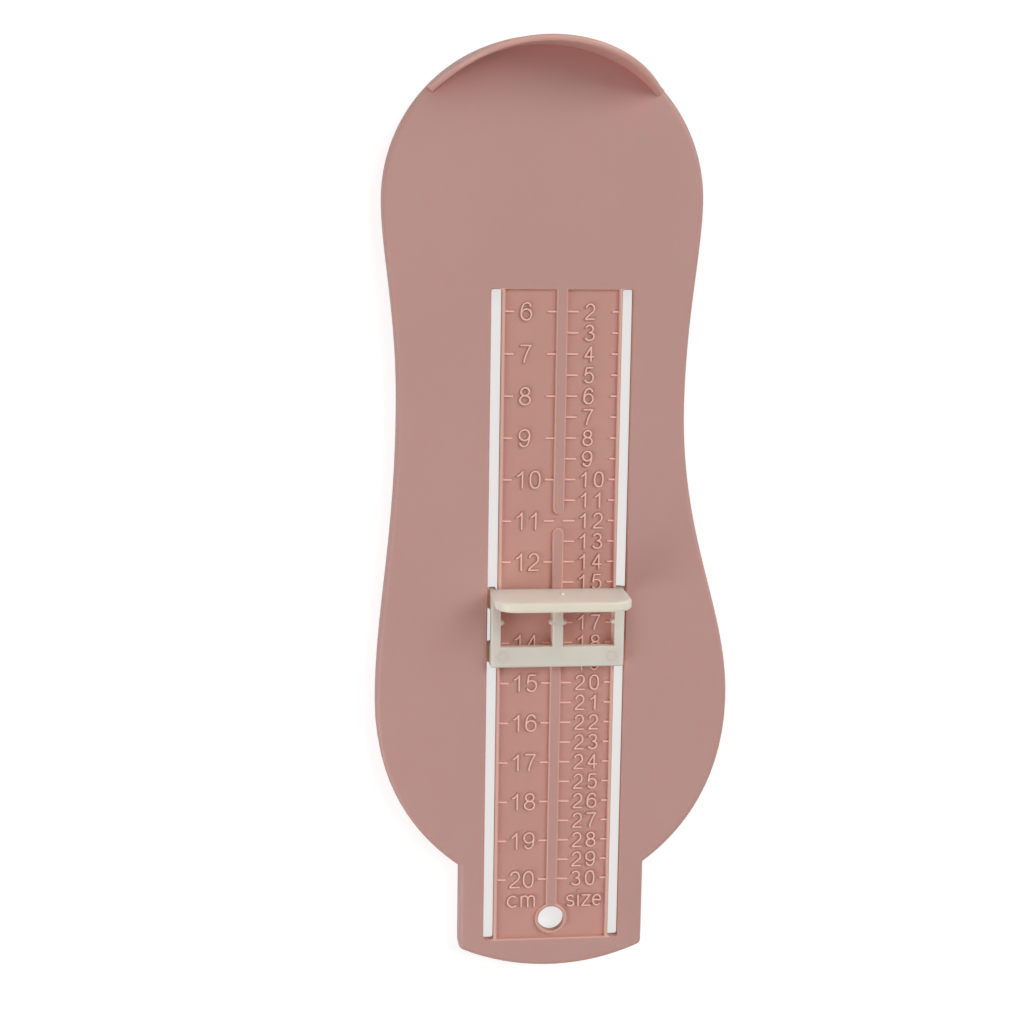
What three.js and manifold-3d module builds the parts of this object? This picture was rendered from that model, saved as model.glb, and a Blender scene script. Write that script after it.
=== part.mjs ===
// Foot measuring device: a moulded footprint board with a heel wall and a recessed pair of scales,
// and a toe slider whose hooked legs run in the two slots beside the scales.
// Millimetres, +Z up. Lengths along the foot are given from the scale's zero: the mark for
// s centimetres lies at Y = -10 s, and X = 0 is the middle line between the two slots.

import * as THREE from 'three';
import { mergeVertices } from 'three/addons/utils/BufferGeometryUtils.js';
import Module from 'manifold-3d';

const wasm = await Module();
wasm.setup();

// Board plan
const HEEL_RADIUS = 37.7;
const HEEL_CENTRE_X = -4.7;
const HEEL_CENTRE_Y = -34.5;
const WAIST_Y = -81.7;
const WAIST_LEFT = 38.7;
const WAIST_RIGHT = 29.9;
const BALL_Y = -154.8;
const BALL_LEFT = 43.5;
const BALL_RIGHT = 42.4;
const HEEL_FULLNESS = 0.26;
const WAIST_FULLNESS = 0.46;
const BALL_FULLNESS = 0.31;
const SHOULDER_FULLNESS = 0.69;
const SHOULDER_RUN_OUT = 1.2;
const TONGUE_HALF_WIDTH = 22.8;
const TONGUE_ROOT_Y = -196.2;
const TONGUE_TIP_Y = -222.5;
const TONGUE_TIP_RADIUS = 54.5;
const TONGUE_CORNER = 1;
const HEEL_ARC_STEP_DEG = 2;
const OUTLINE_STEP = 2.6;

// Board section
const BOARD_HEIGHT = 5.5;
const PLATE_THICKNESS = 2.2;
const SKIRT_WALL = 1.8;
const EDGE_RADIUS = 1.2;
const EDGE_STEPS = 4;
const CORNER_EASE = 0.25;

// Heel wall
const WALL_HEIGHT = 15;
const WALL_ROOT_THICKNESS = 2.1;
const WALL_RIM_THICKNESS = 1.5;
const WALL_RIM_RADIUS = 0.6;
const WALL_RIM_STEPS = 3;
const WALL_HALF_ANGLE_DEG = 47;
const WALL_RAMP_DEG = 50;
const WALL_SHOULDER_RADIUS = 24;
const WALL_END_STEP = 0.6;

// Slots, scale pocket and hanging hole
const SLOT_INNER_X = 14.3;
const SLOT_WIDTH = 2.5;
const STRIP_HEEL_Y = -54.8;
const STRIP_TO_TIP = 7.2;
const SLOT_CORNER = 0.5;
const POCKET_HALF_WIDTH = 13.5;
const POCKET_DEPTH = 0.9;
const RIB_HALF_WIDTH = 1.3;
const RIB_BREAK_Y = -110;
const RIB_BREAK_LENGTH = 3.4;
const HOLE_FROM_STRIP_END = 5;
const HOLE_RADIUS = 3.2;
const RING_RADIUS = 3.95;

// Scale marks
const MARK_SPACING = 10;
const FIRST_CENTIMETRE = 6;
const LEGEND_LENGTH = 12;
const MARK_WIDTH = 0.5;
const MARK_TAPER = 0.08;
const MARK_HEIGHT = 0.45;
const LONG_MARK = 2.7;
const CENTIMETRE_MARK = 2.2;
const SHORT_MARK = 1.6;

// Toe slider
const SLIDER_REST_Y = -126.4;
const SLIDER_HALF_WIDTH = 16.15;
const SLIDER_LENGTH = 18.85;
const SLIDER_CORNER = 0.4;
const SLIDER_EASE = 0.35;
const FRAME_THICKNESS = 2.4;
const SIDE_BAR = 2.35;
const CENTRE_BAR = 2.55;
const CROSS_BAR = 5.05;
const STOP_HEIGHT = 15.4;
const STOP_THICKNESS = 2.4;
const STOP_CORNER = 4.8;
const STOP_EDGE_ROUND = 0.55;
const STOP_ROOT_BAR = 3.1;
const POINTER_FROM_STOP = 7.95;
const POINTER_WIDTH = 1.2;
const POINTER_TIP_WIDTH = 0.4;
const POINTER_REACH = 0.85;

// Fit of the slider on the board
const SLIDE_CLEARANCE = 0.25;
const LEG_SIDE_CLEARANCE = 0.35;
const LEG_THICKNESS = 1.5;
const LEG_LENGTH = 5;
const LEG_INSET = 0.3;
const HOOK_OVERLAP = 0.5;
const HOOK_LAND = 0.4;
const HOOK_LEAD = 1.1;
const HOOK_TIP = 0.8;

// Worked out from the sizes above
const UNDERSIDE_Z = BOARD_HEIGHT - PLATE_THICKNESS;
const POCKET_FLOOR_Z = BOARD_HEIGHT - POCKET_DEPTH;
const SLOT_OUTER_X = SLOT_INNER_X + SLOT_WIDTH;
const STRIP_TOE_Y = TONGUE_TIP_Y + STRIP_TO_TIP;
const HOLE_Y = STRIP_TOE_Y + HOLE_FROM_STRIP_END;
const LAST_CENTIMETRE = Math.floor((-STRIP_TOE_Y - LEGEND_LENGTH) / MARK_SPACING);
const WALL_FOOT_Z = (UNDERSIDE_Z + BOARD_HEIGHT - EDGE_RADIUS) / 2;
const THROUGH = 1;
const EMBED = 0.3;

const boardMaterial = new THREE.MeshStandardMaterial({ color: 0xb9938a, roughness: 0.5, metalness: 0 });
const sliderMaterial = new THREE.MeshStandardMaterial({ color: 0xd4cfc4, roughness: 0.42, metalness: 0 });

// Solids and geometries
function solidOf(geometry) {
  const plain = geometry.clone();
  plain.deleteAttribute('normal');
  plain.deleteAttribute('uv');
  const merged = mergeVertices(plain);
  return new wasm.Manifold(new wasm.Mesh({
    numProp: 3,
    vertProperties: Float32Array.from(merged.attributes.position.array),
    triVerts: Uint32Array.from(merged.index.array),
  }));
}

function geometryOf(solid) {
  const mesh = solid.getMesh();
  const geometry = new THREE.BufferGeometry();
  geometry.setAttribute('position', new THREE.BufferAttribute(Float32Array.from(mesh.vertProperties), 3));
  geometry.setIndex(new THREE.BufferAttribute(Uint32Array.from(mesh.triVerts), 1));
  geometry.computeVertexNormals();
  return geometry;
}

// A closed body skinned over like rings of points, flat at both ends. The rings run anticlockwise
// as seen from the last one, and flatRing is one of them drawn in its own plane.
function skin(rings, flatRing) {
  const count = flatRing.length;
  const positions = [];
  for (const ring of rings) {
    for (const point of ring) positions.push(point.x, point.y, point.z);
  }
  const indices = [];
  for (let level = 0; level + 1 < rings.length; level += 1) {
    for (let i = 0; i < count; i += 1) {
      const next = (i + 1) % count;
      const a = level * count + i;
      const b = level * count + next;
      indices.push(a, b, b + count, a, b + count, a + count);
    }
  }
  const last = (rings.length - 1) * count;
  for (const [i, j, k] of THREE.ShapeUtils.triangulateShape(flatRing, [])) {
    const turn = (flatRing[j].x - flatRing[i].x) * (flatRing[k].y - flatRing[i].y)
      - (flatRing[j].y - flatRing[i].y) * (flatRing[k].x - flatRing[i].x);
    const [p, q, r] = turn > 0 ? [i, j, k] : [i, k, j];
    indices.push(last + p, last + q, last + r, r, q, p);
  }
  const geometry = new THREE.BufferGeometry();
  geometry.setAttribute('position', new THREE.Float32BufferAttribute(positions, 3));
  geometry.setIndex(indices);
  return solidOf(geometry);
}

// The outline moved inwards by a distance, or outwards where the distance is negative.
function inset(outline, distance) {
  const count = outline.length;
  return outline.map((point, i) => {
    const before = point.clone().sub(outline[(i + count - 1) % count]).normalize();
    const after = outline[(i + 1) % count].clone().sub(point).normalize();
    const inwards = new THREE.Vector2(-before.y - after.y, before.x + after.x);
    const stretch = 2 / inwards.lengthSq();
    return point.clone().addScaledVector(inwards, distance * stretch);
  });
}

// A solid through an outline at several heights; each level has its height and its inset.
function stack(outline, levels) {
  const rings = levels.map(({ z, inwards }) => inset(outline, inwards)
    .map((point) => new THREE.Vector3(point.x, point.y, z)));
  return skin(rings, outline);
}

function prism(outline, lowZ, highZ) {
  return stack(outline, [{ z: lowZ, inwards: 0 }, { z: highZ, inwards: 0 }]);
}

// A cutter for an opening from lowZ up through a face at faceZ, whose upper edge is eased.
function openingCutter(outline, lowZ, faceZ, ease) {
  return stack(outline, [
    { z: lowZ, inwards: 0 },
    { z: faceZ - ease, inwards: 0 },
    { z: faceZ + THROUGH, inwards: -(ease + THROUGH) },
  ]);
}

// A raised rib or boss from lowZ to highZ whose upper edge is eased.
function easedBoss(outline, lowZ, highZ, ease) {
  return stack(outline, [
    { z: lowZ, inwards: 0 },
    { z: highZ - ease, inwards: 0 },
    { z: highZ, inwards: ease },
  ]);
}

function rectangle(lowX, highX, lowY, highY) {
  return [
    new THREE.Vector2(lowX, lowY),
    new THREE.Vector2(highX, lowY),
    new THREE.Vector2(highX, highY),
    new THREE.Vector2(lowX, highY),
  ];
}

function roundedRectangle(lowX, highX, lowY, highY, radius, steps) {
  const corners = [
    [highX - radius, lowY + radius, -90],
    [highX - radius, highY - radius, 0],
    [lowX + radius, highY - radius, 90],
    [lowX + radius, lowY + radius, 180],
  ];
  return corners.flatMap(([x, y, startDeg]) => arcPoints(x, y, radius, startDeg, startDeg + 90, steps));
}

function arcPoints(centreX, centreY, radius, startDeg, endDeg, steps) {
  return Array.from({ length: steps + 1 }, (_, i) => {
    const angle = THREE.MathUtils.degToRad(startDeg + ((endDeg - startDeg) * i) / steps);
    return new THREE.Vector2(centreX + radius * Math.cos(angle), centreY + radius * Math.sin(angle));
  });
}

function mirrored(outline) {
  return outline.map((point) => new THREE.Vector2(-point.x, point.y)).reverse();
}

function joined(solids) {
  return solids.reduce((whole, solid) => whole.add(solid));
}

// Footprint outline, anticlockwise from the heel's right side

// One side below the heel, from its widest point round the waist and the ball to the tongue. The
// curve runs straight along the foot where the heel, the waist and the ball are widest or narrowest.
function sideCurves(sign, waist, ball) {
  const heel = new THREE.Vector2(HEEL_CENTRE_X + sign * HEEL_RADIUS, HEEL_CENTRE_Y);
  const narrow = new THREE.Vector2(sign * waist, WAIST_Y);
  const wide = new THREE.Vector2(sign * ball, BALL_Y);
  const root = new THREE.Vector2(sign * TONGUE_HALF_WIDTH, TONGUE_ROOT_Y);
  const below = (point, length) => new THREE.Vector2(point.x, point.y - length);
  const upper = heel.y - narrow.y;
  const middle = narrow.y - wide.y;
  const lower = wide.y - root.y;
  const runOut = new THREE.Vector2(root.x + sign * SHOULDER_RUN_OUT, root.y + SHOULDER_RUN_OUT);
  return [
    new THREE.CubicBezierCurve(
      heel, below(heel, HEEL_FULLNESS * upper), below(narrow, -WAIST_FULLNESS * upper), narrow,
    ),
    new THREE.CubicBezierCurve(
      narrow, below(narrow, WAIST_FULLNESS * middle), below(wide, -BALL_FULLNESS * middle), wide,
    ),
    new THREE.CubicBezierCurve(wide, below(wide, SHOULDER_FULLNESS * lower), runOut, root),
  ];
}

function sampled(curves) {
  return curves.flatMap((curve) => {
    const steps = Math.ceil(curve.getLength() / OUTLINE_STEP);
    return curve.getPoints(steps).slice(0, -1);
  });
}

// The tongue's tip from corner to corner. Each corner is rounded over a length along both its
// sides, or left sharp where that length is 0.
function tongueOutline(cornerLength) {
  const arcCentreY = TONGUE_TIP_Y + TONGUE_TIP_RADIUS;
  const endX = TONGUE_HALF_WIDTH - cornerLength;
  const arcY = (x) => arcCentreY - Math.sqrt(TONGUE_TIP_RADIUS ** 2 - x ** 2);
  const spreadDeg = THREE.MathUtils.radToDeg(Math.asin(endX / TONGUE_TIP_RADIUS));
  const steps = Math.ceil((2 * endX) / OUTLINE_STEP);
  const corner = new THREE.Vector2(TONGUE_HALF_WIDTH, arcY(TONGUE_HALF_WIDTH));
  const rounding = new THREE.QuadraticBezierCurve(
    new THREE.Vector2(endX, arcY(endX)),
    corner,
    new THREE.Vector2(TONGUE_HALF_WIDTH, corner.y + cornerLength),
  );
  const rightCorner = cornerLength > 0 ? rounding.getPoints(EDGE_STEPS).slice(1) : [];
  const tip = arcPoints(0, arcCentreY, TONGUE_TIP_RADIUS, -90 - spreadDeg, -90 + spreadDeg, steps);
  return [...mirrored(rightCorner), ...tip, ...rightCorner];
}

function boardOutline(cornerLength) {
  const heelSteps = 180 / HEEL_ARC_STEP_DEG;
  const heel = arcPoints(HEEL_CENTRE_X, HEEL_CENTRE_Y, HEEL_RADIUS, 0, 180, heelSteps).slice(0, -1);
  const left = sampled(sideCurves(-1, WAIST_LEFT, BALL_LEFT));
  const leftRoot = new THREE.Vector2(-TONGUE_HALF_WIDTH, TONGUE_ROOT_Y);
  const right = sampled(sideCurves(1, WAIST_RIGHT, BALL_RIGHT)).slice(1);
  const rightRoot = new THREE.Vector2(TONGUE_HALF_WIDTH, TONGUE_ROOT_Y);
  return [...heel, ...left, leftRoot, ...tongueOutline(cornerLength), rightRoot, ...right.reverse()];
}

// Height of the heel wall at a distance along it from its end: a ramp that a large radius
// rounds into the level rim.
function wallRise(fromEnd) {
  const ramp = THREE.MathUtils.degToRad(WALL_RAMP_DEG);
  const along = fromEnd + WALL_END_STEP / Math.tan(ramp);
  const blend = WALL_SHOULDER_RADIUS * Math.tan(ramp / 2);
  const levelFrom = WALL_HEIGHT / Math.tan(ramp) + blend;
  if (along >= levelFrom) return WALL_HEIGHT;
  if (along <= levelFrom - WALL_SHOULDER_RADIUS * Math.sin(ramp)) return along * Math.tan(ramp);
  return WALL_HEIGHT - WALL_SHOULDER_RADIUS
    + Math.sqrt(WALL_SHOULDER_RADIUS ** 2 - (levelFrom - along) ** 2);
}

// The wall's section as radius and height, for one rise of the rim: both faces lean in by the
// draft, and the rim is rounded on both sides.
function wallSection(rise) {
  const lean = (WALL_ROOT_THICKNESS - WALL_RIM_THICKNESS) / 2;
  const outer = HEEL_RADIUS;
  const inner = HEEL_RADIUS - WALL_ROOT_THICKNESS;
  const drop = Math.min(WALL_RIM_RADIUS, rise / 2);
  const rimZ = BOARD_HEIGHT + rise;
  const points = [
    new THREE.Vector2(inner, WALL_FOOT_Z),
    new THREE.Vector2(outer, WALL_FOOT_Z),
    new THREE.Vector2(outer, BOARD_HEIGHT),
  ];
  for (let i = 0; i <= WALL_RIM_STEPS; i += 1) {
    const angle = (Math.PI / 2) * (i / WALL_RIM_STEPS);
    const reach = WALL_RIM_RADIUS * (1 - Math.cos(angle));
    points.push(new THREE.Vector2(outer - lean - reach, rimZ - drop + drop * Math.sin(angle)));
  }
  for (let i = WALL_RIM_STEPS; i >= 0; i -= 1) {
    const angle = (Math.PI / 2) * (i / WALL_RIM_STEPS);
    const reach = WALL_RIM_RADIUS * (1 - Math.cos(angle));
    points.push(new THREE.Vector2(inner + lean + reach, rimZ - drop + drop * Math.sin(angle)));
  }
  points.push(new THREE.Vector2(inner, BOARD_HEIGHT));
  return points;
}

function heelWall() {
  const steps = Math.ceil((2 * WALL_HALF_ANGLE_DEG) / HEEL_ARC_STEP_DEG);
  const stepDeg = (2 * WALL_HALF_ANGLE_DEG) / steps;
  const halfLength = HEEL_RADIUS * THREE.MathUtils.degToRad(WALL_HALF_ANGLE_DEG);
  const rings = [];
  for (let i = 0; i <= steps; i += 1) {
    const angle = THREE.MathUtils.degToRad(90 - WALL_HALF_ANGLE_DEG + i * stepDeg);
    const along = HEEL_RADIUS * Math.abs(angle - Math.PI / 2);
    const section = wallSection(wallRise(halfLength - along));
    rings.push(section.map(({ x: radius, y: z }) => new THREE.Vector3(
      HEEL_CENTRE_X + radius * Math.cos(angle),
      HEEL_CENTRE_Y + radius * Math.sin(angle),
      z,
    )));
  }
  return skin(rings.reverse(), wallSection(WALL_HEIGHT));
}

// The board's shell: rounded upper edge, plate and skirt, hollow below with sharp inner corners.
function boardShell() {
  const levels = [{ z: 0, inwards: 0 }];
  for (let i = 0; i <= EDGE_STEPS; i += 1) {
    const angle = (Math.PI / 2) * (i / EDGE_STEPS);
    levels.push({
      z: BOARD_HEIGHT - EDGE_RADIUS + EDGE_RADIUS * Math.sin(angle),
      inwards: EDGE_RADIUS * (1 - Math.cos(angle)),
    });
  }
  const hollow = prism(inset(boardOutline(0), SKIRT_WALL), -THROUGH, UNDERSIDE_Z);
  return stack(boardOutline(TONGUE_CORNER), levels).subtract(hollow);
}

// The rib between the two scales, in two lengths with round ends at the break between them.
function centreRibs() {
  const heelEnd = RIB_BREAK_Y + RIB_BREAK_LENGTH / 2;
  const toeEnd = RIB_BREAK_Y - RIB_BREAK_LENGTH / 2;
  const upper = [
    ...arcPoints(0, heelEnd + RIB_HALF_WIDTH, RIB_HALF_WIDTH, 180, 360, 8),
    new THREE.Vector2(RIB_HALF_WIDTH, STRIP_HEEL_Y + THROUGH),
    new THREE.Vector2(-RIB_HALF_WIDTH, STRIP_HEEL_Y + THROUGH),
  ];
  const lower = [
    new THREE.Vector2(-RIB_HALF_WIDTH, HOLE_Y),
    new THREE.Vector2(RIB_HALF_WIDTH, HOLE_Y),
    ...arcPoints(0, toeEnd - RIB_HALF_WIDTH, RIB_HALF_WIDTH, 0, 180, 8),
  ];
  const ring = arcPoints(0, HOLE_Y, RING_RADIUS, 0, 360, 40).slice(0, -1);
  return [upper, lower, ring]
    .map((shape) => easedBoss(shape, POCKET_FLOOR_Z - EMBED, BOARD_HEIGHT, CORNER_EASE));
}

// One raised mark across part of a column, at a place along the scale.
function mark(fromX, toX, y) {
  const shape = rectangle(
    Math.min(fromX, toX), Math.max(fromX, toX), y - MARK_WIDTH / 2, y + MARK_WIDTH / 2,
  );
  return stack(shape, [
    { z: POCKET_FLOOR_Z - EMBED, inwards: 0 },
    { z: POCKET_FLOOR_Z, inwards: 0 },
    { z: POCKET_FLOOR_Z + MARK_HEIGHT, inwards: MARK_TAPER },
  ]);
}

// Marks at both sides of each column: every centimetre on the left, every half on the right.
function scaleMarks() {
  const edge = POCKET_HALF_WIDTH + EMBED;
  const rib = RIB_HALF_WIDTH - EMBED;
  const marks = [];
  for (let half = 2 * FIRST_CENTIMETRE; half <= 2 * LAST_CENTIMETRE; half += 1) {
    const y = (-MARK_SPACING * half) / 2;
    marks.push(mark(rib, RIB_HALF_WIDTH + LONG_MARK, y));
    marks.push(mark(edge, POCKET_HALF_WIDTH - SHORT_MARK, y));
    if (half % 2 === 0) {
      marks.push(mark(-edge, -POCKET_HALF_WIDTH + CENTIMETRE_MARK, y));
      marks.push(mark(-rib, -RIB_HALF_WIDTH - CENTIMETRE_MARK, y));
    }
  }
  return marks;
}

function measuringBoard() {
  const pocket = rectangle(-POCKET_HALF_WIDTH, POCKET_HALF_WIDTH, STRIP_TOE_Y, STRIP_HEEL_Y);
  const slot = roundedRectangle(
    SLOT_INNER_X, SLOT_OUTER_X, STRIP_TOE_Y, STRIP_HEEL_Y, SLOT_CORNER, EDGE_STEPS,
  );
  const hole = arcPoints(0, HOLE_Y, HOLE_RADIUS, 0, 360, 40).slice(0, -1);
  const shell = boardShell()
    .add(heelWall())
    .subtract(openingCutter(pocket, POCKET_FLOOR_Z, BOARD_HEIGHT, CORNER_EASE));
  return joined([shell, ...centreRibs(), ...scaleMarks()])
    .subtract(openingCutter(slot, UNDERSIDE_Z - THROUGH, BOARD_HEIGHT, CORNER_EASE))
    .subtract(openingCutter(mirrored(slot), UNDERSIDE_Z - THROUGH, BOARD_HEIGHT, CORNER_EASE))
    .subtract(openingCutter(hole, UNDERSIDE_Z - THROUGH, BOARD_HEIGHT, CORNER_EASE));
}

// A window of the slider's frame, with a pointer standing into it from each side.
function windowOutline() {
  const lowX = CENTRE_BAR / 2;
  const highX = SLIDER_HALF_WIDTH - SIDE_BAR;
  const toeY = CROSS_BAR - SLIDER_LENGTH;
  const pointerY = -POINTER_FROM_STOP;
  const root = POINTER_WIDTH / 2;
  const tip = POINTER_TIP_WIDTH / 2;
  return [
    new THREE.Vector2(lowX, toeY),
    new THREE.Vector2(highX, toeY),
    new THREE.Vector2(highX, pointerY - root),
    new THREE.Vector2(highX - POINTER_REACH, pointerY - tip),
    new THREE.Vector2(highX - POINTER_REACH, pointerY + tip),
    new THREE.Vector2(highX, pointerY + root),
    new THREE.Vector2(highX, -STOP_ROOT_BAR),
    new THREE.Vector2(lowX, -STOP_ROOT_BAR),
    new THREE.Vector2(lowX, pointerY + root),
    new THREE.Vector2(lowX + POINTER_REACH, pointerY + tip),
    new THREE.Vector2(lowX + POINTER_REACH, pointerY - tip),
    new THREE.Vector2(lowX, pointerY - root),
  ];
}

// The upright toe stop: a plate with round upper corners, its edge rounded on both faces.
function toeStop() {
  const below = STOP_EDGE_ROUND + THROUGH;
  const face = [
    new THREE.Vector2(-SLIDER_HALF_WIDTH, -below),
    new THREE.Vector2(SLIDER_HALF_WIDTH, -below),
    ...arcPoints(SLIDER_HALF_WIDTH - STOP_CORNER, STOP_HEIGHT - STOP_CORNER, STOP_CORNER, 0, 90, 8),
    ...arcPoints(STOP_CORNER - SLIDER_HALF_WIDTH, STOP_HEIGHT - STOP_CORNER, STOP_CORNER, 90, 180, 8),
  ];
  const levels = [];
  for (let i = 0; i <= EDGE_STEPS; i += 1) {
    const angle = (Math.PI / 2) * (i / EDGE_STEPS);
    levels.push({
      depth: STOP_EDGE_ROUND * (1 - Math.sin(angle)),
      inwards: STOP_EDGE_ROUND * (1 - Math.cos(angle)),
    });
  }
  const front = levels.slice().reverse();
  const back = levels.map(({ depth, inwards }) => ({ depth: STOP_THICKNESS - depth, inwards }));
  const rings = [...front, ...back].map(({ depth, inwards }) => inset(face, inwards)
    .map((point) => new THREE.Vector3(point.x, -depth, point.y)));
  const plate = skin(rings, face);
  const trim = rectangle(
    -SLIDER_HALF_WIDTH - THROUGH, SLIDER_HALF_WIDTH + THROUGH, -STOP_THICKNESS - THROUGH, THROUGH,
  );
  return plate.subtract(prism(trim, -below - THROUGH, 0));
}

// A leg through the right slot, hooked outwards under the plate, with a slope that leads it in.
function hookedLeg(heelY) {
  const innerX = SLOT_INNER_X + LEG_SIDE_CLEARANCE;
  const outerX = innerX + LEG_THICKNESS;
  const landZ = -(SLIDE_CLEARANCE + PLATE_THICKNESS + SLIDE_CLEARANCE);
  const section = [
    new THREE.Vector2(innerX, EMBED),
    new THREE.Vector2(innerX, landZ - HOOK_LAND - HOOK_LEAD),
    new THREE.Vector2(innerX + HOOK_TIP, landZ - HOOK_LAND - HOOK_LEAD),
    new THREE.Vector2(SLOT_OUTER_X + HOOK_OVERLAP, landZ - HOOK_LAND),
    new THREE.Vector2(SLOT_OUTER_X + HOOK_OVERLAP, landZ),
    new THREE.Vector2(outerX, landZ),
    new THREE.Vector2(outerX, EMBED),
  ];
  const ringAt = (y) => section.map((point) => new THREE.Vector3(point.x, y, point.y));
  return skin([ringAt(heelY), ringAt(heelY - LEG_LENGTH)], section);
}

function toeSlider() {
  const frame = roundedRectangle(
    -SLIDER_HALF_WIDTH, SLIDER_HALF_WIDTH, -SLIDER_LENGTH, -STOP_EDGE_ROUND, SLIDER_CORNER, EDGE_STEPS,
  );
  const opening = windowOutline();
  const rightLegs = joined([
    hookedLeg(-LEG_INSET),
    hookedLeg(LEG_INSET + LEG_LENGTH - SLIDER_LENGTH),
  ]);
  const cutter = openingCutter(opening, -THROUGH, FRAME_THICKNESS, SLIDER_EASE / 2);
  return easedBoss(frame, 0, FRAME_THICKNESS, SLIDER_EASE)
    .subtract(cutter)
    .subtract(cutter.mirror([1, 0, 0]))
    .add(toeStop())
    .add(rightLegs)
    .add(rightLegs.mirror([1, 0, 0]));
}

// Assembly, with the origin under the middle of the board's outline
const outlineBox = new THREE.Box2().setFromPoints(boardOutline(TONGUE_CORNER));
const middle = outlineBox.getCenter(new THREE.Vector2());

const board = new THREE.Mesh(geometryOf(measuringBoard()), boardMaterial);
board.name = 'measuring_board';

const slider = new THREE.Mesh(geometryOf(toeSlider()), sliderMaterial);
slider.name = 'toe_slider';
slider.position.set(0, SLIDER_REST_Y, BOARD_HEIGHT + SLIDE_CLEARANCE);

const device = new THREE.Group();
device.position.set(-middle.x, -middle.y, 0);
device.add(board, slider);

export default device;
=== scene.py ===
"""Looks of the foot measuring device: a moulded board with two raised scales, a milky toe slider.

All lengths in this file are millimetres unless a comment says otherwise, measured from the
scale's zero: the mark for s centimetres lies at -10 s along the foot, and 0 across it is the
middle line between the two slots. Heights are from the table.
"""

import bmesh
import bpy
import numpy as np
from bpy.props import BoolProperty, FloatProperty, FloatVectorProperty, PointerProperty
from mathutils import Matrix


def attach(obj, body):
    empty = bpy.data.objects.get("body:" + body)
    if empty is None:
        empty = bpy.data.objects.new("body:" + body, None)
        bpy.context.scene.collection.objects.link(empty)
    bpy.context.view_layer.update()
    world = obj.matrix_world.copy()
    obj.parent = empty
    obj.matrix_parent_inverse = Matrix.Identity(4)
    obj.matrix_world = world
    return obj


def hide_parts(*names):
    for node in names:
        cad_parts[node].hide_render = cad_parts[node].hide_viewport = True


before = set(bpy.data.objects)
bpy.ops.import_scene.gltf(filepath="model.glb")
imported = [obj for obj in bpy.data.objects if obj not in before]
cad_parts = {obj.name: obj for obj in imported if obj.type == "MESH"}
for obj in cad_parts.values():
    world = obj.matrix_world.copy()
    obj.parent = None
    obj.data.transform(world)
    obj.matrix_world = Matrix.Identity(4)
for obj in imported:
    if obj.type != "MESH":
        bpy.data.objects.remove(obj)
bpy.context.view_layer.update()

bl_info = {
    "name": "Foot Measuring Device",
    "version": (1, 0, 0),
    "blender": (4, 5, 0),
    "location": "View3D > Sidebar > Foot Gauge",
    "description": "Dresses the foot measuring device: board, raised scales, toe slider and stage",
    "category": "Object",
}

MM = 0.001

# Vertices closer than this are made one, and faces that meet at less than this, in radians, are
# made one flat
WELD = 0.002
FLAT_ANGLE = 0.002

# Heights of a face's unit normal above which it counts as flat, as facing up, as a figure's top
# (painted paler as a highlight, while its steeper sides are painted darker as shade), as the
# rounded rim of the heel wall, and as the top of the slider's stop
FLAT = 0.9
UPWARD = 0.5
FIGURE_UPWARD = 0.8
RIM_UPWARD = 0.3
STOP_UPWARD = 0.35

# A face up to this far from a level, or this far past an edge in plan, still belongs to it. The
# pocket's floor has a closer margin, and a mark stands at least this much over it
LEVEL_MARGIN = 0.3
EDGE_MARGIN = 0.5
POCKET_MARGIN = 0.1
MARK_CLEARANCE = 0.05

# The scale's zero in the frame, the board's two levels, and the edges of what lies in its top
SCALE_ZERO = (0.55, 109.65)
BOARD_TOP = 5.5
POCKET_FLOOR = 4.6
POCKET_HALF_WIDTH = 13.5
LEDGE_HALF_WIDTH = 14.8
SLOT_OUTER_X = 16.8
STRIP_HEEL_Y = -54.8
STRIP_TOE_Y = -215.3
WALL_LOW_Y = -15

# The scales: a size n lies at n + 10 half centimetres. Each column gives the middle of a number
# of one and of two figures, the width of a figure and the gap between two
CENTIMETRE = 10
FIRST_CENTIMETRE = 6
LAST_CENTIMETRE = 20
HALVES_BEFORE_SIZES = 10
CENTIMETRE_COLUMN = {"middles": (-8.5, -7.45), "cell": 2.4, "gap": 0.97}
SIZE_COLUMN = {"middles": (6.65, 7.84), "cell": 2.12, "gap": 1.33}

# Traces of moulding on the slider: ejector pins on its cross bar, and the gate on its upright stop
FRAME_TOP = 8.15
CROSS_BAR_Y = -142.55
PIN_X = 13.25
PIN_RADIUS = 1.2
GATE_PLACE = (0.3, -126.4, 11.8)
GATE_RADIUS = 0.65

# Both plastics: darkest and lightest patches as shares of the colour, the range of a noise that
# counts, how far the roughness varies, the widths of patches and ripples, and refractive indices
MOTTLING = (0.96, 1.03)
NOISE_RANGE = (0.25, 0.75)
UNEVENNESS = 0.05
ABS_CLOUDS = 28
ABS_IOR = 1.54
POLYPROPYLENE_CLOUDS = 6
POLYPROPYLENE_RIPPLES = 1.4
POLYPROPYLENE_IOR = 1.49

# Openness, from an ambient occlusion node, at which a corner has its full painted shade colour
# and none of it
SHELTERED = 0.5
OPEN = 0.95

# The floor lies this many millimetres under the board, so that the two share no plane
FLOOR_DROP = 0.02

# The floor and the lamps, in metres in the frame: place, width and the look that gives the power
FLOOR_HALF_WIDTH = 3.0
LAMPS = {
    "main_lamp": ((7.15, 5.35, 8.04), 7.2, "key_power"),
    "heel_lamp": ((-0.83, 4.63, 8.83), 6.5, "heel_power"),
    "left_lamp": ((-0.83, -0.45, 0.56), 0.64, "left_power"),
}

# The paper's share of light returned, to other surfaces and to the camera, and its own white
PAPER = 0.8
PAPER_SEEN = 0.4
PAPER_WHITE = (1.0, 0.985, 0.98)

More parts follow.
